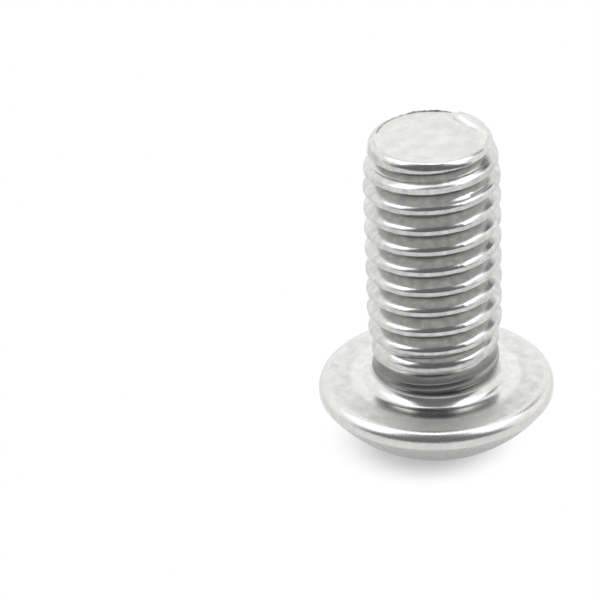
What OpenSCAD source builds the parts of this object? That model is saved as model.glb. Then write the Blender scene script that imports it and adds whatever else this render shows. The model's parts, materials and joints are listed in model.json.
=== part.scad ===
// Button head screw with a hexagon socket, standing on its head.
// Millimetres. The origin is the centre of the bearing face under the head,
// +Z runs along the shank to the tip, and -Y is the front.

/* [Thread] */
// Major diameter, over the crests
thread_d = 9.5; // [7:0.1:14]
// Distance from one crest to the next
pitch = 1.5875; // [1:0.0125:2]
// Distance from the tip face down to the first crest, at the front
first_crest = 0.2; // [0.1:0.05:1]
// Sides of one turn of the helix
turn_sides = 40; // [24:2:48]

/* [Shank] */
// Length from the bearing face to the tip face
shank_l = 18.9; // [12:0.1:40]
// Diameter of the plain neck under the head
neck_d = 8.75; // [6.2:0.05:13]
// Length of the plain neck, fillet included
neck_l = 1.9; // [1.2:0.05:4]
// Length over which the grooves run out into the neck
runout_l = 1.2; // [0.6:0.1:3]
// Radius of the fillet between neck and head
fillet_r = 0.85; // [0.2:0.05:1]

/* [Tip] */
// Diameter of the flat tip face
tip_d = 7.8; // [4.5:0.05:9]
// Length of the chamfer round the tip face
chamfer_l = 0.6; // [0.2:0.05:1.5]
// How much smaller than a full crest the first one is, across
lead_drop = 0.55; // [0.1:0.05:1]
// Length over which the crests grow to full height
lead_l = 2.6; // [1:0.1:5]
// Height of the lip that the first crest raises over the tip face
lip_h = 0.3; // [0.1:0.05:0.5]
// Width of the lip across its foot
lip_w = 0.75; // [0.4:0.05:1.2]
// Angle that the lip runs round the tip face
lip_turn = 72; // [40:1:120]
// Angle where the lip breaks off, from +X towards +Y
lip_end = 57; // [20:1:90]

/* [Head] */
// Diameter of the head
head_d = 16.7; // [14:0.1:24]
// Height of the head
head_h = 4.8; // [4.2:0.05:8]
// Diameter of the flat crown round the socket
crown_d = 7.2; // [6.8:0.1:10]
// Height of the rim, down to where the dome starts
rim_h = 1.1; // [0.9:0.05:1.6]
// Rounding of the rim against the bearing face
rim_r = 0.8; // [0.2:0.05:0.85]

/* [Socket] */
// Width across the flats of the hexagon
socket_af = 5.6; // [3:0.1:5.8]
// Depth of the hexagon from the crown
socket_depth = 3.1; // [1.5:0.05:3.3]
// Diameter of the chamfer round the mouth
mouth_d = 6.9; // [6.7:0.05:8]
// Depth of the shallow cone in the socket's floor
floor_cone = 0.35; // [0.1:0.05:0.6]

/* [Hidden] */
$fn = 96;
overlap = 0.1;          // how far a cutter or a buried end runs past its face
flank_angle = 60;       // included angle of the thread's groove
cone_share = 0.86;      // width of the floor's cone over the hexagon's flats
thread_r = thread_d / 2;
neck_r = neck_d / 2;
tip_r = tip_d / 2;
head_r = head_d / 2;
crown_r = crown_d / 2;
mouth_r = mouth_d / 2;
cone_r = cone_share * socket_af / 2;

// Thread form: flat crest, straight flanks and round root, as shares of the sharp triangle
sharp_h = pitch / (2 * tan(flank_angle / 2));
root_round = sharp_h / 6;
root_half = root_round * cos(flank_angle / 2);
root_rise = root_round * (1 - sin(flank_angle / 2));
crest_half = pitch / 16;
flank_run = pitch / 2 - root_half - crest_half;
root_r = thread_r - root_rise - flank_run / tan(flank_angle / 2);

// The helix starts inside the neck and ends above the tip, where it is cut off
turns = floor((shank_l - first_crest - pitch / 2 - overlap) / pitch) + 1;
start_z = shank_l - first_crest - (turns - 1) * pitch;
rows = turns * turn_sides;

// Below the end of the thread its crests sink into the neck
fade_z = neck_l - runout_l / 2;
fade_l = 2 * runout_l;
sunk_r = neck_r - overlap;

// One pitch of the outline, as distance from the crest and radius
outline = [
    [-pitch / 2, root_r],
    [-pitch / 2 + root_half / 2, root_r + root_rise / 4],
    [-pitch / 2 + root_half, root_r + root_rise],
    [-crest_half, thread_r],
    [crest_half, thread_r],
    [pitch / 2 - root_half, root_r + root_rise],
    [pitch / 2 - root_half / 2, root_r + root_rise / 4]
];
cols = len(outline);

// Dome: a sphere on the axis through the foot of the rim and the edge of the crown
dome_z = (head_r * head_r + rim_h * rim_h - crown_r * crown_r - head_h * head_h)
    / (2 * (head_h - rim_h));
dome_r = sqrt(head_r * head_r + pow(dome_z + rim_h, 2));

function crest_limit(z) = sunk_r + (thread_r - sunk_r) * min(1, max(0, (z - fade_z) / fade_l));

function on_axis(r, a, z) = [r * cos(a), r * sin(a), z];

function helix_point(i, j) =
    let (z = start_z + pitch * i / turn_sides + outline[j][0])
    on_axis(min(outline[j][1], crest_limit(z)), 360 * i / turn_sides - 90, z);

// Full thread: rows along the helix, columns over one pitch. The last column of a row is
// the first column of the row one turn on, so the rows past the end have one point each.
module helix() {
    last = rows + turn_sides;
    foot_z = start_z - pitch / 2;
    points = concat(
        [for (i = [0:rows]) for (j = [0:cols - 1]) helix_point(i, j)],
        [for (i = [rows + 1:last]) helix_point(i, 0)],
        [[0, 0, foot_z], [0, 0, foot_z + pitch * (turns + 1)]]
    );
    first_of = function (i) i <= rows ? i * cols : (rows + 1) * cols + i - rows - 1;
    corner = function (i, j) j < cols ? i * cols + j : first_of(i + turn_sides);
    foot = len(points) - 2;
    top = len(points) - 1;
    sheet = [for (i = [0:rows - 1]) for (j = [0:cols - 1])
        each let (a = corner(i, j), b = corner(i + 1, j), c = corner(i + 1, j + 1), d = corner(i, j + 1))
        [[a, c, b], [a, d, c]]];
    foot_ramp = [for (i = [0:turn_sides - 1]) [foot, corner(i, 0), corner(i + 1, 0)]];
    foot_step = [for (j = [0:cols - 1]) [foot, corner(0, j + 1), corner(0, j)]];
    top_ramp = [for (i = [rows:last - 1]) [top, first_of(i + 1), first_of(i)]];
    top_step = [for (j = [0:cols - 1]) [top, corner(rows, j), corner(rows, j + 1)]];
    polyhedron(points, concat(sheet, foot_ramp, foot_step, top_ramp, top_step), convexity = 10);
}

// Turned blank that trims the thread to its lead, chamfer and tip face
module blank() {
    lead_r = thread_r - lead_drop / 2;
    slope = (thread_r - lead_r) / lead_l;
    rotate_extrude()
        polygon([
            [0, 0],
            [lead_r + slope * (shank_l - chamfer_l), 0],
            [lead_r, shank_l - chamfer_l],
            [tip_r, shank_l],
            [0, shank_l]
        ]);
}

// Lip of metal squeezed up along the tip's edge: it climbs out of the tip face and breaks off
module lip() {
    steps = ceil(turn_sides * lip_turn / 360);
    rise = function (i) (lip_h + overlap / 2) * i / steps - overlap / 2;
    outer_r = tip_r + overlap / 2;
    section = function (i) [
        [tip_r - lip_w, -overlap],
        [tip_r - lip_w / 2, rise(i)],
        [outer_r, rise(i) - overlap / 2],
        [outer_r, -2 * overlap]
    ];
    sides = len(section(0));
    points = [for (i = [0:steps]) for (p = section(i))
        on_axis(p[0], lip_end - lip_turn * (1 - i / steps), shank_l + p[1])];
    sheet = [for (i = [0:steps - 1]) for (j = [0:sides - 1])
        each let (a = i * sides + j, b = a + sides, d = i * sides + (j + 1) % sides, c = d + sides)
        [[a, b, c], [a, c, d]]];
    polyhedron(points, concat(sheet, [[for (j = [0:sides - 1]) j]],
        [[for (j = [sides - 1:-1:0]) steps * sides + j]]));
}

module head_outline() {
    difference() {
        intersection() {
            translate([0, -head_h]) square([head_r, head_h]);
            translate([0, dome_z]) circle(dome_r);
        }
        translate([head_r - rim_r, -rim_r])
            difference() {
                square(rim_r + overlap);
                circle(rim_r);
            }
    }
}

module neck_outline() {
    translate([0, -overlap]) square([neck_r, neck_l + overlap]);
    translate([0, neck_l - overlap])
        polygon([[0, 0], [neck_r, 0], [neck_r, overlap],
            [root_r - overlap, runout_l + overlap], [0, runout_l + overlap]]);
    difference() {
        translate([neck_r - overlap, -overlap]) square(fillet_r + overlap);
        translate([neck_r + fillet_r, fillet_r]) circle(fillet_r);
    }
}

module socket() {
    translate([0, 0, -head_h - overlap]) {
        cylinder(h = socket_depth + overlap, d = socket_af / cos(30), $fn = 6);
        cylinder(h = mouth_r + overlap, r1 = mouth_r + overlap, r2 = 0);
    }
    translate([0, 0, -head_h + socket_depth - overlap])
        cylinder(h = floor_cone + overlap, r1 = cone_r * (1 + overlap / floor_cone), r2 = 0);
}

module screw() {
    color("silver")
    difference() {
        union() {
            rotate_extrude() {
                head_outline();
                neck_outline();
            }
            intersection() {
                helix();
                blank();
            }
            lip();
        }
        socket();
    }
}

screw();
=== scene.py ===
import json
import math
import bmesh
import bpy
from mathutils import Matrix, Vector, noise


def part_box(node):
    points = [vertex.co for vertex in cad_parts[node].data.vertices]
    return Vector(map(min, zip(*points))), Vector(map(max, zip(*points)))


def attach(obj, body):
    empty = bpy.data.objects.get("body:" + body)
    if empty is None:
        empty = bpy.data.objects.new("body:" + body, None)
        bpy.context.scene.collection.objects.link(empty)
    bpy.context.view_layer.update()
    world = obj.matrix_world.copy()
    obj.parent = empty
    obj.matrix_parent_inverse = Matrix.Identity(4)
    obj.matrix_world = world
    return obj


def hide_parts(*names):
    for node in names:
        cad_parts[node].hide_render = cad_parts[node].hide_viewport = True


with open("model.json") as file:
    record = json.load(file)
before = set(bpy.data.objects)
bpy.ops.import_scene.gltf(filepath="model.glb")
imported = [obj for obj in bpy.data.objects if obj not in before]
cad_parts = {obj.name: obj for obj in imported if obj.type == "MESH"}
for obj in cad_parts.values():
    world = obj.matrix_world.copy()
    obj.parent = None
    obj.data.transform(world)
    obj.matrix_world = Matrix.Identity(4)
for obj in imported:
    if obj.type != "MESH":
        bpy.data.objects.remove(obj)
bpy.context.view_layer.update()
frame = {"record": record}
boxLow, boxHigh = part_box("screw")
mountZ = {m["name"]: m["pos_m"][2] for m in frame["record"]["mounts"]}
mm = 0.001
print("frame loaded")


def linearColour(hexCode):
    channels = [int(hexCode[i:i + 2], 16) / 255 for i in (1, 3, 5)]
    return [c / 12.92 if c <= 0.04045 else ((c + 0.055) / 1.055) ** 2.4 for c in channels] + [1.0]


def addNode(tree, kind, inputs=None, **settings):
    made = tree.nodes.new(kind)
    for name, value in settings.items():
        setattr(made, name, value)
    for name, value in (inputs or {}).items():
        if isinstance(value, bpy.types.NodeSocket):
            tree.links.new(value, made.inputs[name])
        else:
            made.inputs[name].default_value = value
    return made


def smoothStep(low, high, value):
    t = min(1, max(0, (value - low) / (high - low)))
    return t * t * (3 - 2 * t)


def smoothMin(a, b, soft):
    near = max(soft - abs(a - b), 0) / soft
    return min(a, b) - near * near * soft / 4


def between(table, value):
    if value <= table[0][0]:
        return table[0][1]
    for (low, a), (high, b) in zip(table, table[1:]):
        if value < high:
            return a + (b - a) * smoothStep(low, high, value)
    return table[-1][1]


def makeObject(name, bm):
    mesh = bpy.data.meshes.new(name)
    bm.to_mesh(mesh)
    bm.free()
    made = bpy.data.objects.new(name, mesh)
    bpy.context.scene.collection.objects.link(made)
    return made


# thread and neck: one outline in the XZ plane, spun up the helix and then trimmed
shank = {
    "tipZ": mountZ["tip_face"],
    "lowZ": 0.92 * mm,           # where the shank meets the fillet of the head
    "neckR": 4.375 * mm,
    "majorR": 4.75 * mm,
    "pitch": 1.5875 * mm,
    "firstCrest": 0.2 * mm,      # from the tip face down to the crest at the front
    "crestUp": 0.13 * mm,        # flat of the crest, above and below its middle
    "crestDown": 0.2 * mm,
    "facetW": 0.16 * mm,         # facet between the crest and its upper flank, across and along the axis
    "facetH": 0.19 * mm,
    "crestRound": 0.05 * mm,     # how far the rounding of the upper corners reaches
    "lowerRound": 0.14 * mm,
    "rootRound": 0.14 * mm,
    "flankOver": 0.4 * mm,       # edges of the outline that are longer are flanks, and are cut
    "flankCuts": 4,
    "columns": 192,              # round the axis
    "tipR": 3.9 * mm,
    "tipRound": 0.14 * mm,
    "tipCuts": (0.12, 0.3, 0.6, 1),    # where the rounding is cut, as shares of its height
    "shoulderR": 0.72 * mm,      # rounding of the chamfer, from the tip face to the first crest
    "shoulderFrom": 66,          # slope at which it leaves the tip face, in degrees
    # distance from the tip face, and the radius that the crests reach there, less the full one, in mm
    "lead": [(0.66, -0.42), (1.6, -0.14), (3.3, 0.0)],
    # height over the bearing face in mm, and the share of the full height of crest or depth of groove
    "crestShare": [(0.6, 0.0), (0.9, 0.3), (1.1, 0.4), (1.5, 0.38), (2.45, 0.3), (3.2, 0.36),
        (4.3, 0.88), (5.4, 1.0)],
    "grooveShare": [(2.5, 0.0), (3.1, 0.45), (3.9, 1.0)],
    "thin": 0.17 * mm,           # how much thinner the first crest is, on its upper side
    "thinReach": 0.5 * mm,       # height of that side
    "thinShare": [(2.0, 1.0), (3.3, 0.0)],    # by distance from the tip face in mm
    "soft": 0.03 * mm,           # how softly the crests meet the chamfer
    "ripple": 0.01 * mm,         # unevenness of the rolled crests
    "rippleZone": (0.25 * mm, 0.05 * mm),     # depth under the crests over which it sets in
    "tipZone": (0.9 * mm, 0.1 * mm),          # the same under the tip face
    "fineWaves": 1.7, "coarseWaves": 0.8,     # how many of its waves there are to 1 mm
    "roughRipple": 0.02 * mm,    # unevenness where the dies leave off
    "roughFrom": (2.3 * mm, 2.7 * mm), "roughTo": (5.2 * mm, 3.2 * mm),
    "roughZone": (0.04 * mm, 0.1 * mm),       # height over the neck at which it sets in
    "seamAt": -63,               # nick that the dies leave on each crest, in degrees from +X
    "seamWidth": 1.4,
    "seamHeight": 0.035 * mm,
}


slope = math.tan(math.radians(30))
# where the upper flank would meet the crest, and the middle of the first crest over the X axis
upperZ = shank["crestUp"] + shank["facetH"] - shank["facetW"] * slope
crestZ = shank["tipZ"] - shank["firstCrest"] + shank["pitch"] / 4


def threadWire(bm):
    s = shank
    rootDown = (s["pitch"] + s["crestDown"] - upperZ) / 2
    rootR = s["majorR"] - (rootDown - s["crestDown"]) / slope
    teeth = math.ceil((crestZ - s["lowZ"]) / s["pitch"]) + 2
    crests, lowers, roots = [], [], []
    last = None
    for tooth in range(2, -teeth - 1, -1):
        z = crestZ + tooth * s["pitch"]
        for point, group in (
            ((s["majorR"] - s["facetW"], 0, z + s["crestUp"] + s["facetH"]), crests),
            ((s["majorR"], 0, z + s["crestUp"]), crests),
            ((s["majorR"], 0, z - s["crestDown"]), lowers),
            ((rootR, 0, z - rootDown), roots),
        ):
            vert = bm.verts.new(point)
            group.append(vert)
            if last:
                bm.edges.new((last, vert))
            last = vert
    roots.pop()
    crests.pop(0)
    rounding = {"affect": "VERTICES", "profile": 0.5, "material": -1}
    bmesh.ops.bevel(bm, geom=roots, offset=s["rootRound"], segments=4, **rounding)
    bmesh.ops.bevel(bm, geom=lowers, offset=s["lowerRound"], segments=4, **rounding)
    bmesh.ops.bevel(bm, geom=crests, offset=s["crestRound"], segments=2, **rounding)
    flanks = [e for e in bm.edges if e.calc_length() > s["flankOver"]]
    bmesh.ops.subdivide_edges(bm, edges=flanks, cuts=s["flankCuts"])


def trimmedRadius(r, z, angle):
    s = shank
    fromTip = s["tipZ"] - z
    thin = between(s["thinShare"], fromTip / mm)
    above = (((z - crestZ) / s["pitch"] - angle / (2 * math.pi) + 0.5) % 1 - 0.5) * s["pitch"]
    if thin > 0 and 0 < above < s["thinReach"]:
        r = min(r, s["majorR"] - (above + s["thin"] * thin - upperZ) / slope)
    share = between(s["crestShare" if r > s["neckR"] else "grooveShare"], z / mm)
    r = s["neckR"] + (r - s["neckR"]) * share
    lead = s["majorR"] + between(s["lead"], fromTip / mm) * mm
    start = math.radians(s["shoulderFrom"])
    rise = s["shoulderR"] * math.sin(start) - fromTip
    if rise > 0:
        lead = s["tipR"] - s["shoulderR"] * math.cos(start) + math.sqrt(s["shoulderR"] ** 2 - rise ** 2)
    r = smoothMin(r, lead, s["soft"])
    if fromTip < s["tipRound"]:
        rise = s["tipRound"] - max(0, fromTip)
        r -= s["tipRound"] - math.sqrt(s["tipRound"] ** 2 - rise ** 2)
    return r


def unevenness(r, z, angle):
    s = shank
    onCrest = smoothStep(s["majorR"] - s["rippleZone"][0], s["majorR"] - s["rippleZone"][1], r)
    leaveOff = smoothStep(*s["roughTo"], z) * smoothStep(*s["roughFrom"], z)
    onSkin = smoothStep(s["neckR"] + s["roughZone"][0], s["neckR"] + s["roughZone"][1], r) * leaveOff
    nearTip = smoothStep(s["tipZ"] - s["tipZone"][0], s["tipZ"] - s["tipZone"][1], z)
    spot = Vector((math.cos(angle), math.sin(angle), 0)) * (s["majorR"] / mm)
    fine = noise.noise((spot + Vector((0, 0, z / mm))) * s["fineWaves"])
    coarse = noise.noise((spot + Vector((9, 0, z / mm))) * s["coarseWaves"])
    moved = s["ripple"] * (fine + coarse) * max(onCrest, nearTip) + s["roughRipple"] * fine * onSkin
    turned = (math.degrees(angle) - s["seamAt"]) / s["seamWidth"]
    return moved + s["seamHeight"] * math.exp(-turned * turned) * onCrest


def cutAt(bm, z, **cleared):
    bmesh.ops.bisect_plane(bm, geom=bm.verts[:] + bm.edges[:] + bm.faces[:],
        plane_co=(0, 0, z), plane_no=(0, 0, 1), **cleared)


def makeShank():
    s = shank
    bm = bmesh.new()
    threadWire(bm)
    bmesh.ops.spin(bm, geom=bm.verts[:] + bm.edges[:], cent=(0, 0, 0), axis=(0, 0, 1),
        dvec=(0, 0, s["pitch"] / s["columns"]), angle=2 * math.pi, steps=s["columns"], use_merge=False)
    bmesh.ops.remove_doubles(bm, verts=bm.verts[:], dist=0.001 * mm)
    for share in s["tipCuts"]:
        cutAt(bm, s["tipZ"] - s["tipRound"] * share)
    cutAt(bm, s["tipZ"], clear_outer=True)
    cutAt(bm, s["lowZ"], clear_inner=True)
    for v in bm.verts:
        angle = math.atan2(v.co.y, v.co.x)
        r = v.co.xy.length
        r = trimmedRadius(r, v.co.z, angle)
        r += unevenness(r, v.co.z, angle)
        v.co.x, v.co.y = r * math.cos(angle), r * math.sin(angle)
    print("thread and neck spun")
    return bm


# tip face, and the lip that the rolling squeezed up along a part of its edge
tip = {
    # rings of the face, as shares of its radius
    "rings": [0.992, 0.98, 0.96, 0.93, 0.9, 0.87, 0.84, 0.81, 0.78, 0.75, 0.72, 0.68,
        0.6, 0.5, 0.38, 0.25, 0.12],
    "dents": 0.012 * mm,             # depth of the shallow dents that the shears leave
    "dentSize": 0.9 * mm,
    "dentZone": (0.05 * mm, 0.6 * mm),    # distance from the edge over which they set in
    "burrFrom": 66, "burrTo": 172,   # ragged burr along the back edge, in degrees from +X
    "burrStart": 12, "burrEnd": 30,  # degrees over which it rises and falls
    "burrH": 0.09 * mm,
    "burrMean": 0.7, "burrRagged": 0.8,   # share of that height, and how much it varies
    "burrTear": 5,                   # degrees from one tear to the next
    "burrR": 3.74 * mm,              # radius of its inner wall
    "burrWall": (0.015 * mm, 0.01 * mm),
    "lipFrom": -20, "lipTo": 57,     # the lip, in degrees from +X
    "lipH": 0.3 * mm,
    "lipCurve": 0.8,                 # under 1 it climbs faster at first
    "lipInner": 2.95 * mm,           # radius where the lip leaves the face, at its high end
    "lipWide": 0.7,                  # share of its turn after which it has that radius
    "lipStep": (0.02 * mm, 0.18 * mm),    # width of its inner slope, on both sides of that radius
    "lipDrop": 0.35,                 # share by which it is lower at its outer edge
    "lipDropW": 0.35 * mm,
    "wallH": 0.3 * mm,               # how far down the outside burr and lip drag the edge
}


def ringAt(bm, z):
    return [e for e in bm.edges if e.is_boundary and all(abs(v.co.z - z) < 0.002 * mm for v in e.verts)]


def closeTip(bm):
    edges = ringAt(bm, shank["tipZ"])
    before = 1
    for share in tip["rings"]:
        grown = bmesh.ops.extrude_edge_only(bm, edges=edges)["geom"]
        verts = [g for g in grown if isinstance(g, bmesh.types.BMVert)]
        edges = [g for g in grown if isinstance(g, bmesh.types.BMEdge)]
        bmesh.ops.scale(bm, verts=verts, vec=(share / before, share / before, 1))
        before = share
    bmesh.ops.contextual_create(bm, geom=edges)


def shapeTip(bm):
    s, t = shank, tip
    for v in bm.verts:
        if v.co.z < s["tipZ"] - t["wallH"]:
            continue
        angle = math.degrees(math.atan2(v.co.y, v.co.x))
        r = v.co.xy.length
        if v.co.z > s["tipZ"] - 0.01 * mm:
            onFace = smoothStep(s["tipR"] - t["dentZone"][0], s["tipR"] - t["dentZone"][1], r)
            v.co.z -= t["dents"] * onFace * abs(noise.noise(v.co / t["dentSize"]))
        turned = angle % 360
        if t["burrFrom"] < turned < t["burrTo"]:
            along = min(1, (turned - t["burrFrom"]) / t["burrStart"], (t["burrTo"] - turned) / t["burrEnd"])
            ragged = t["burrMean"] + t["burrRagged"] * noise.noise(Vector((turned / t["burrTear"], 0, 0)))
            wall = smoothStep(s["tipZ"] - t["wallH"], s["tipZ"], v.co.z)
            edge = smoothStep(t["burrR"] - t["burrWall"][0], t["burrR"] + t["burrWall"][1], r)
            v.co.z += t["burrH"] * along * ragged * wall * edge
        if t["lipFrom"] < angle < t["lipTo"]:
            climb = (angle - t["lipFrom"]) / (t["lipTo"] - t["lipFrom"])
            foot = s["tipR"] - (s["tipR"] - t["lipInner"]) * smoothStep(0, t["lipWide"], climb)
            inner = smoothStep(foot - t["lipStep"][0], foot + t["lipStep"][1], r)
            outer = 1 - t["lipDrop"] * smoothStep(s["tipR"] - t["lipDropW"], s["tipR"], r)
            wall = smoothStep(s["tipZ"] - t["wallH"], s["tipZ"], v.co.z)
            v.co.z += t["lipH"] * climb ** t["lipCurve"] * inner * outer * wall


# head: outline from the neck over the bearing face and the rim down to the crown
head = {
    "radius": boxHigh.x,
    "height": -boxLow.z,
    "fillet": 0.85 * mm,
    "rimRound": 0.8 * mm,
    "rimH": 1.1 * mm,
    "rimFoot": 0.07 * mm,        # small rounding between the rim and the dome
    "crownR": 3.6 * mm,
    "joinGap": 0.03 * mm,        # strip that joins the head's neck to the shank
    "domeSteps": 30,
    "faceOver": 1 * mm,          # the only longer edge of the outline is the bearing face
    "faceCuts": 12,
    "ironedFrom": 5.75 * mm, "ironedTo": 6.3 * mm,    # radii over which the smooth ring round the fillet ends
}


def makeHead(bm):
    h = head
    domeZ = (h["radius"] ** 2 + h["rimH"] ** 2 - h["crownR"] ** 2 - h["height"] ** 2) / (
        2 * (h["height"] - h["rimH"]))
    points = [(shank["neckR"], shank["lowZ"] - h["joinGap"]), (shank["neckR"], 0), (h["radius"], 0),
        (h["radius"], -h["rimH"])]
    verts = [bm.verts.new((x, 0, z)) for x, z in points]
    for pair in zip(verts, verts[1:]):
        bm.edges.new(pair)
    foot = math.atan2(-h["rimH"] - domeZ, h["radius"])
    crown = math.atan2(-h["height"] - domeZ, h["crownR"])
    bmesh.ops.spin(bm, geom=[verts[-1]], cent=(0, 0, domeZ), axis=(0, 1, 0),
        angle=foot - crown, steps=h["domeSteps"])
    rounding = {"affect": "VERTICES", "profile": 0.5, "material": -1}
    bmesh.ops.bevel(bm, geom=[verts[1]], offset=h["fillet"], segments=16, **rounding)
    bmesh.ops.bevel(bm, geom=[verts[2]], offset=h["rimRound"], segments=16, **rounding)
    bmesh.ops.bevel(bm, geom=[verts[3]], offset=h["rimFoot"], segments=3, **rounding)
    flat = [e for e in bm.edges if not e.link_faces and e.calc_length() > h["faceOver"]]
    bmesh.ops.subdivide_edges(bm, edges=flat, cuts=h["faceCuts"])
    wire = [v for v in bm.verts if not v.link_faces]
    end = min(wire, key=lambda v: (round(v.co.z, 7), v.co.x))
    axis = bm.verts.new((0, 0, -h["height"]))
    bm.edges.new((end, axis))
    outline = wire + [axis] + [e for e in bm.edges if not e.link_faces]
    bmesh.ops.spin(bm, geom=outline, cent=(0, 0, 0), axis=(0, 0, 1), angle=2 * math.pi,
        steps=shank["columns"], use_merge=True)
    bmesh.ops.remove_doubles(bm, verts=bm.verts[:], dist=0.0005 * mm)
    print("head spun")


# hexagon socket, cut from below: broached hexagon, chamfered mouth, drilled cone under it
socket = {
    "flats": 5.6 * mm,
    "depth": 3.1 * mm,
    "mouthR": 3.45 * mm,
    "floorCone": 0.35 * mm,
    "drillR": 2.41 * mm,
    "roundSides": 96,
    "past": 0.4 * mm,            # how far each cutter runs past the crown
    "sink": 0.05 * mm,           # how far the drilled cone's cutter starts under the hexagon's floor
}


def cutSocket(piece):
    k = socket
    base = -head["height"]
    hexR = k["flats"] / 2 / math.cos(math.radians(30))
    floorZ = base + k["depth"]
    drillR = k["drillR"] * (1 + k["sink"] / k["floorCone"])
    tools = []
    for name, low, high, lowR, highR, sides in (
        ("hexTool", base - k["past"], floorZ, hexR, hexR, 6),
        ("mouthTool", base - k["past"], base + k["mouthR"], k["mouthR"] + k["past"], 0, k["roundSides"]),
        ("drillTool", floorZ - k["sink"], floorZ + k["floorCone"], drillR, 0, k["roundSides"]),
    ):
        place = Matrix.Translation((0, 0, (low + high) / 2)) @ Matrix.Rotation(math.radians(30), 4, "Z")
        bm = bmesh.new()
        bmesh.ops.create_cone(bm, cap_ends=True, segments=sides, radius1=lowR, radius2=highR,
            depth=high - low, matrix=place)
        bmesh.ops.remove_doubles(bm, verts=bm.verts[:], dist=0.0005 * mm)
        bmesh.ops.recalc_face_normals(bm, faces=bm.faces[:])
        tools.append(makeObject(name, bm))
    for tool in tools:
        cut = piece.modifiers.new(tool.name, "BOOLEAN")
        cut.operation = "DIFFERENCE"
        cut.solver = "MANIFOLD"
        cut.object = tool
    bpy.context.view_layer.update()
    evaluated = piece.evaluated_get(bpy.context.evaluated_depsgraph_get())
    piece.data = bpy.data.meshes.new_from_object(evaluated)
    piece.modifiers.clear()
    for tool in tools:
        bpy.data.objects.remove(tool)
    print("socket cut")


def buildScrew():
    bm = makeShank()
    closeTip(bm)
    shapeTip(bm)
    makeHead(bm)
    bmesh.ops.bridge_loops(bm, edges=[e for e in bm.edges if e.is_boundary])
    bmesh.ops.recalc_face_normals(bm, faces=bm.faces[:])
    piece = makeObject("screwBody", bm)
    cutSocket(piece)
    return piece


# steel finishes, neutral grey as stainless is. The first two tones are those of its clouds, with
# "smooth" and "rough" as their roughness, and the third is the tone of painted shade, where the "bright"
# share is low. "cloud", "grain" and "depth" are mm. The grain is drawn 4 or 5 times as coarse as it really
# is, or it wouldn't show
finishes = {
    # thread-rolled stainless: smooth bright flanks with faint drag marks; the darker roots are painted shade
    "rolledStainless": {
        "colour": "#cfcfce", "dullToneAndShade": "#bbbbba", "shadeTone": "#7c7c7b", "smooth": 0.16, "rough": 0.26,
        "cloud": 0.6, "grain": 0.16, "depth": 0.0022,
    },
    # bearing face struck flat by the die: satin, with wide soft reflections, and "ironed" near the fillet
    "dieStruckStainless": {
        "colour": "#dadad9", "dullToneAndShade": "#cdcdcc", "shadeTone": "#7c7c7b", "smooth": 0.5, "rough": 0.6,
        "ironed": 0.22, "cloud": 0.8, "grain": 0.15, "depth": 0.003,
    },
    # fillet, ironed smooth by the die: long soft streaks of light
    "ironedStainless": {
        "colour": "#d4d4d3", "dullToneAndShade": "#cacac9", "shadeTone": "#737372", "smooth": 0.19, "rough": 0.27,
        "cloud": 0.9, "grain": 0.2, "depth": 0.0012,
    },
    # plain neck, the skin of the drawn wire that no die has touched; its darkness is painted shade
    "drawnStainless": {
        "colour": "#c4c4c3", "dullToneAndShade": "#b6b6b5", "shadeTone": "#727271", "smooth": 0.2, "rough": 0.3,
        "cloud": 0.9, "grain": 0.16, "depth": 0.0022,
    },
    # upset-forged and tumbled stainless: an even fine grain, as if lightly blasted
    "tumbledStainless": {
        "colour": "#d2d1d0", "dullToneAndShade": "#cac9c8", "shadeTone": "#7c7c7b", "smooth": 0.26, "rough": 0.3,
        "cloud": 0.6, "grain": 0.13, "depth": 0.005,
    },
    # sheared and rumbled end of the wire: matt, pale and faintly mottled
    "shearedStainless": {
        "colour": "#d6d6d5", "dullToneAndShade": "#cbcbca", "shadeTone": "#7c7c7b", "smooth": 0.42, "rough": 0.54,
        "cloud": 1.1, "grain": 0.22, "depth": 0.005,
    },
    # broached socket, walls that a punch has scraped; their darker tone is painted shade in the recess
    "shadedBroachedStainless": {
        "colour": "#a9a8a6", "dullToneAndShade": "#83827f", "shadeTone": "#6a6967", "smooth": 0.24, "rough": 0.4,
        "cloud": 0.6, "grain": 0.12, "depth": 0.003,
    },
}


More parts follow.
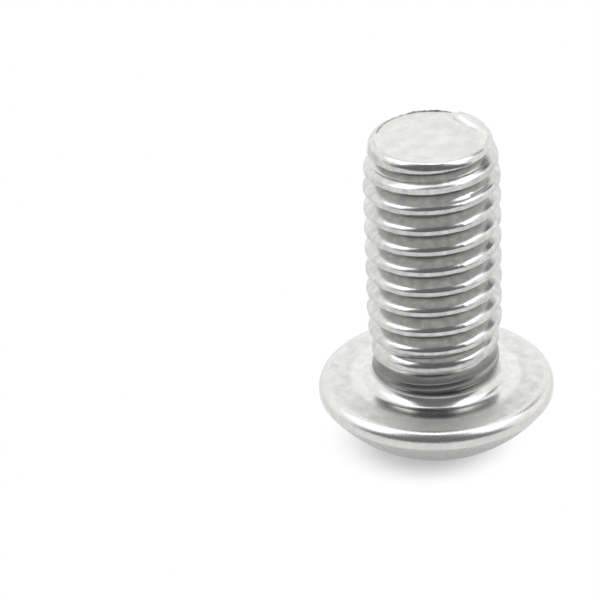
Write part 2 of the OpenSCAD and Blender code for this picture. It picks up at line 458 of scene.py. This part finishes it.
def steel(name):
    f = finishes[name]
    made = bpy.data.materials.new(name)
    made.use_nodes = True
    tree = made.node_tree
    shader = tree.nodes["Principled BSDF"]
    shader.inputs["Metallic"].default_value = 1
    place = addNode(tree, "ShaderNodeTexCoord").outputs["Object"]
    cloud = addNode(tree, "ShaderNodeTexNoise", {
        "Vector": place, "Scale": 1 / (f["cloud"] * mm), "Detail": 4.0, "Roughness": 0.62})
    patch = addNode(tree, "ShaderNodeMapRange", {
        "Value": cloud.outputs["Fac"], "From Min": 0.36, "From Max": 0.64}).outputs["Result"]
    rough = addNode(tree, "ShaderNodeMapRange", {
        "Value": patch, "To Min": f["rough"], "To Max": f["smooth"]}).outputs["Result"]
    if "ironed" in f:
        ironed = addNode(tree, "ShaderNodeAttribute", attribute_name="ironed").outputs["Fac"]
        rough = addNode(tree, "ShaderNodeMix", {
            "Factor": ironed, "A": rough, "B": f["ironed"]}, data_type="FLOAT").outputs["Result"]
    tint = addNode(tree, "ShaderNodeMix", {
        "Factor": patch, "A": linearColour(f["dullToneAndShade"]), "B": linearColour(f["colour"])}, data_type="RGBA")
    # painted shade: where the "bright" share is low, the steel's darkest tone is mixed in
    bright = addNode(tree, "ShaderNodeAttribute", attribute_name="bright").outputs["Fac"]
    shadeTone = addNode(tree, "ShaderNodeMix", {
        "Factor": bright, "A": linearColour(f["shadeTone"]), "B": tint.outputs["Result"]}, data_type="RGBA")
    grain = addNode(tree, "ShaderNodeTexNoise", {
        "Vector": place, "Scale": 1 / (f["grain"] * mm), "Detail": 2.0, "Roughness": 0.55})
    bump = addNode(tree, "ShaderNodeBump", {
        "Height": grain.outputs["Fac"], "Strength": 1.0, "Distance": f["depth"] * mm})
    tree.links.new(rough, shader.inputs["Roughness"])
    tree.links.new(shadeTone.outputs["Result"], shader.inputs["Base Color"])
    tree.links.new(bump.outputs["Normal"], shader.inputs["Normal"])
    return made


# painted shade in the thread's roots, on the neck and inside the tip's burr, as height or radius in mm and as
# share of brightness
dullToneAndShade = {
    "tipH": 0.3, "headTop": 0.3,          # all is bright this far below the tip face, and below this height
    "thread": [(3.8, 0.48), (4.1, 0.9), (4.5, 0.9), (4.7, 0.94)],    # share by radius, painted shade deepest in the roots
    "neckFrom": 0.4, "neckTo": 1.0,       # painted shade on the neck, upwards from the fillet
    "neckShare": 0.12,
    "neckEnd": 2.3, "threadFrom": 3.1,    # where the neck gives way to the thread
    "ridgeFrom": 4.405, "ridgeTo": 4.45,  # radius of the crests on it, which are kept out of the painted shade
    "ridgeLow": 1.3, "ridgeHigh": 2.4,    # height over which they brighten
    "burrShare": 0.3,                     # painted shade inside the burr on the tip
    "burrHalf": 0.06,
}


# share of brightness that the painted shade leaves at a point, 1 where there is none
def brightAt(point):
    d = dullToneAndShade
    r, z = point.xy.length / mm, point.z / mm
    if z > shank["tipZ"] / mm - d["tipH"]:
        turned = math.degrees(math.atan2(point.y, point.x)) % 360
        inside = abs(r - tip["burrR"] / mm) < d["burrHalf"] and tip["burrFrom"] < turned < tip["burrTo"]
        return d["burrShare"] if inside else 1
    if z < d["headTop"]:
        return 1
    neck = 1 - (1 - d["neckShare"]) * smoothStep(d["neckFrom"], d["neckTo"], z)
    ridge = smoothStep(d["ridgeFrom"], d["ridgeTo"], r) * smoothStep(d["ridgeLow"], d["ridgeHigh"], z)
    neck += (1 - neck) * ridge
    root = between(d["thread"], r)
    return neck + (root - neck) * smoothStep(d["neckEnd"], d["threadFrom"], z)


def ironedAt(point):
    return smoothStep(head["ironedTo"], head["ironedFrom"], point.xy.length)


# where one finish gives way to the next
borders = {
    "tipStep": 0.02 * mm,        # inwards and down from the edge of the tip face
    "threadZ": 2.2 * mm,
    "neckZ": 0.75 * mm,
    "faceHigh": 0.002 * mm, "faceLow": -0.004 * mm,
    "mouthR": head["crownR"] - 0.1 * mm,
}


def finishAt(centre):
    b = borders
    r, z = centre.xy.length, centre.z
    if z > shank["tipZ"] - b["tipStep"] and r < shank["tipR"] - b["tipStep"]:
        return "shearedStainless"
    if z > b["threadZ"]:
        return "rolledStainless"
    if z < 0 and r < b["mouthR"]:
        return "shadedBroachedStainless"
    if z > b["neckZ"]:
        return "drawnStainless"
    if z > b["faceHigh"]:
        return "ironedStainless"
    if z > b["faceLow"]:
        return "dieStruckStainless"
    return "tumbledStainless"


def storeShare(piece, name, shareAt):
    stored = piece.data.attributes.new(name, "FLOAT", "POINT")
    stored.data.foreach_set("value", [shareAt(v.co) for v in piece.data.vertices])


screwBody = buildScrew()
screwBody.data.materials.clear()
slots = list(finishes)
for name in slots:
    screwBody.data.materials.append(steel(name))
for face in screwBody.data.polygons:
    face.use_smooth = True
    face.material_index = slots.index(finishAt(face.center))
screwBody.data.set_sharp_from_angle(angle=math.radians(38))
storeShare(screwBody, "bright", brightAt)
storeShare(screwBody, "ironed", ironedAt)
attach(screwBody, "root")
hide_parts("screw")
print("finishes set")


# studio: a white tent with a brighter roof, and a dark slot in it that the camera looks through.
# Places in it are parts of a direction of length 1: X to the right, Y to the back, Z up
studio = {
    "wall": 1.28,
    "roof": 3.0,
    "roofFrom": 0.5, "roofTo": 0.62,      # how far up the wall turns to roof
    "roofBack": 0.22,                     # how far back the roof reaches
    "roofAt": -0.06, "roofHalf": 0.76,    # middle of the roof and half its width
    "slot": 0.21,
    "slotAt": -0.02, "slotHalf": 0.98,    # middle of the slot, and half its width low down
    "slotNarrow": 0.712,                  # how much narrower it gets overhead
    "slotPower": 1.585,
    "slotBack": -0.03,                    # how far back it reaches
    "edge": 0.05,                         # half the width of their soft edges
    # a dark patch behind, in degrees: from the front towards +X, up, half its width, and its soft edge
    "patchAzimuth": 128, "patchElevation": 43, "patchHalf": 7, "patchEdge": 4,
    "patch": 0.15,
}


def makeWorld():
    s = studio
    world = bpy.data.worlds.new("whiteTent")
    world.use_nodes = True
    bpy.context.scene.world = world
    tree = world.node_tree
    background = tree.nodes["Background"]
    where = addNode(tree, "ShaderNodeTexCoord").outputs["Generated"]
    x, y, z = addNode(tree, "ShaderNodeSeparateXYZ", {"Vector": where}).outputs
    high = addNode(tree, "ShaderNodeMapRange", {
        "Value": z, "From Min": s["roofFrom"], "From Max": s["roofTo"],
    }, interpolation_type="SMOOTHSTEP").outputs["Result"]
    near = addNode(tree, "ShaderNodeMapRange", {
        "Value": y, "From Min": s["roofBack"] + s["edge"], "From Max": s["roofBack"] - s["edge"],
    }, interpolation_type="SMOOTHSTEP").outputs["Result"]
    off = addNode(tree, "ShaderNodeMath", {0: x, 1: s["roofAt"]}, operation="SUBTRACT").outputs["Value"]
    off = addNode(tree, "ShaderNodeMath", {0: off}, operation="ABSOLUTE").outputs["Value"]
    wide = addNode(tree, "ShaderNodeMapRange", {
        "Value": off, "From Min": s["roofHalf"] + s["edge"], "From Max": s["roofHalf"] - s["edge"],
    }, interpolation_type="SMOOTHSTEP").outputs["Result"]
    roof = addNode(tree, "ShaderNodeMath", {0: high, 1: near}, operation="MULTIPLY").outputs["Value"]
    roof = addNode(tree, "ShaderNodeMath", {0: roof, 1: wide}, operation="MULTIPLY").outputs["Value"]
    level = addNode(tree, "ShaderNodeMix", {
        "Factor": roof, "A": s["wall"], "B": s["roof"]}, data_type="FLOAT").outputs["Result"]
    azimuth, elevation = math.radians(s["patchAzimuth"]), math.radians(s["patchElevation"])
    across = math.cos(elevation)
    way = (math.sin(azimuth) * across, -math.cos(azimuth) * across, math.sin(elevation))
    dot = addNode(tree, "ShaderNodeVectorMath", {0: where, 1: way}, operation="DOT_PRODUCT").outputs["Value"]
    mask = addNode(tree, "ShaderNodeMapRange", {
        "Value": dot, "From Min": math.cos(math.radians(s["patchHalf"] + s["patchEdge"])),
        "From Max": math.cos(math.radians(s["patchHalf"])),
    }, interpolation_type="SMOOTHSTEP").outputs["Result"]
    level = addNode(tree, "ShaderNodeMix", {
        "Factor": mask, "A": level, "B": s["patch"]}, data_type="FLOAT").outputs["Result"]
    aside = addNode(tree, "ShaderNodeMath", {0: x, 1: s["slotAt"]}, operation="SUBTRACT").outputs["Value"]
    aside = addNode(tree, "ShaderNodeMath", {0: aside}, operation="ABSOLUTE").outputs["Value"]
    steep = addNode(tree, "ShaderNodeMath", {0: z, 1: s["slotPower"]}, operation="POWER").outputs["Value"]
    reach = addNode(tree, "ShaderNodeMath", {
        0: steep, 1: s["slotNarrow"], 2: aside}, operation="MULTIPLY_ADD").outputs["Value"]
    inside = addNode(tree, "ShaderNodeMapRange", {
        "Value": reach, "From Min": s["slotHalf"] + s["edge"], "From Max": s["slotHalf"] - s["edge"],
    }, interpolation_type="SMOOTHSTEP").outputs["Result"]
    front = addNode(tree, "ShaderNodeMapRange", {
        "Value": y, "From Min": s["slotBack"] + s["edge"], "From Max": s["slotBack"] - s["edge"],
    }, interpolation_type="SMOOTHSTEP").outputs["Result"]
    slot = addNode(tree, "ShaderNodeMath", {0: inside, 1: front}, operation="MULTIPLY").outputs["Value"]
    level = addNode(tree, "ShaderNodeMix", {"Factor": slot, "A": level, "B": s["slot"]}, data_type="FLOAT")
    seen = addNode(tree, "ShaderNodeLightPath").outputs["Is Camera Ray"]
    shown = addNode(tree, "ShaderNodeMix", {
        "Factor": seen, "A": level.outputs["Result"], "B": 1.0}, data_type="FLOAT")
    tree.links.new(shown.outputs["Result"], background.inputs["Strength"])
    background.inputs["Color"].default_value = (1, 1, 1, 1)


# white uncoated paper, matt. It shows its own shade near the head and glows plain white further out: less
# glow in a disc round the head is painted shade, and the steel sees it glow a little brighter than white, a
# painted reflection
paper = {
    "size": 2.0,                          # half its width, in metres
    "colour": "#f6f6f6",
    "shadeAt": (-0.9 * mm, -0.3 * mm),    # centre of the disc of painted shade round the head
    "shadeR": 3.6 * mm, "clearR": 7.3 * mm,
    "shadeShare": 0.36,                   # share of the white glow that shows even under the head, in the painted shade
    "mirrorFrom": 7.0 * mm, "mirrorTo": 10.5 * mm,    # the same painted shade for what the steel reflects
    "mirrorShare": 0.3,
    "mirrorMore": 0.1,                    # painted reflection: how much more than white the steel reflects there
}


def makeFloor():
    p = paper
    bm = bmesh.new()
    bmesh.ops.create_grid(bm, x_segments=1, y_segments=1, size=p["size"],
        matrix=Matrix.Translation((0, 0, boxLow.z)))
    floor = makeObject("paperFloor", bm)
    made = bpy.data.materials.new("whitePaper")
    made.use_nodes = True
    tree = made.node_tree
    shader = tree.nodes["Principled BSDF"]
    shader.inputs["Base Color"].default_value = linearColour(p["colour"])
    shader.inputs["Roughness"].default_value = 0.9
    shader.inputs["Specular IOR Level"].default_value = 0.0
    place = addNode(tree, "ShaderNodeTexCoord").outputs["Object"]
    centred = addNode(tree, "ShaderNodeMapping", {
        "Vector": place, "Location": (-p["shadeAt"][0], -p["shadeAt"][1], 0), "Scale": (1, 1, 0)})
    away = addNode(tree, "ShaderNodeVectorMath", {0: centred.outputs["Vector"]}, operation="LENGTH")
    # painted shade: the paper's white glow is weaker in a disc round the head, and grows outwards
    clear = addNode(tree, "ShaderNodeMapRange", {
        "Value": away.outputs["Value"], "From Min": p["shadeR"], "From Max": p["clearR"],
        "To Min": p["shadeShare"], "To Max": 1.0,
    }, interpolation_type="SMOOTHSTEP")
    mirrored = addNode(tree, "ShaderNodeMapRange", {
        "Value": away.outputs["Value"], "From Min": p["mirrorFrom"], "From Max": p["mirrorTo"],
        "To Min": p["mirrorShare"], "To Max": 1.0,
    }, interpolation_type="SMOOTHSTEP")
    path = addNode(tree, "ShaderNodeLightPath").outputs
    seen = addNode(tree, "ShaderNodeMath", {
        0: clear.outputs["Result"], 1: path["Is Camera Ray"]}, operation="MULTIPLY").outputs["Value"]
    share = addNode(tree, "ShaderNodeMath", {
        0: mirrored.outputs["Result"], 1: path["Is Glossy Ray"], 2: seen}, operation="MULTIPLY_ADD")
    level = addNode(tree, "ShaderNodeMath", {
        0: path["Is Glossy Ray"], 1: p["mirrorMore"], 2: 1.0}, operation="MULTIPLY_ADD").outputs["Value"]
    white = addNode(tree, "ShaderNodeEmission", {"Color": (1, 1, 1, 1), "Strength": level})
    mixed = addNode(tree, "ShaderNodeMixShader", {
        "Fac": share.outputs["Value"], 1: shader.outputs["BSDF"], 2: white.outputs["Emission"]})
    tree.links.new(mixed.outputs["Shader"], tree.nodes["Material Output"].inputs["Surface"])
    floor.data.materials.append(made)


# camera, fitted to the outlines of tip face, bearing face and crests
view = {
    "position": (0, -181.810 * mm, 111.501 * mm),
    "aim": (-9.414 * mm, 0, 6.236 * mm),
    "roll": -2.733,                       # in degrees
    "lens": 179.69,
}


def makeCamera():
    data = bpy.data.cameras.new("camera")
    data.lens = view["lens"]
    data.sensor_width = 36
    data.clip_start = 0.001
    camera = bpy.data.objects.new("camera", data)
    position, aim = Vector(view["position"]), Vector(view["aim"])
    turn = (aim - position).to_track_quat("-Z", "Y").to_matrix().to_4x4()
    camera.matrix_world = Matrix.Translation(position) @ turn @ Matrix.Rotation(
        math.radians(view["roll"]), 4, "Z")
    bpy.context.scene.collection.objects.link(camera)
    bpy.context.scene.camera = camera


makeWorld()
makeFloor()
makeCamera()
bpy.context.scene.view_settings.view_transform = "Standard"
print("studio set")
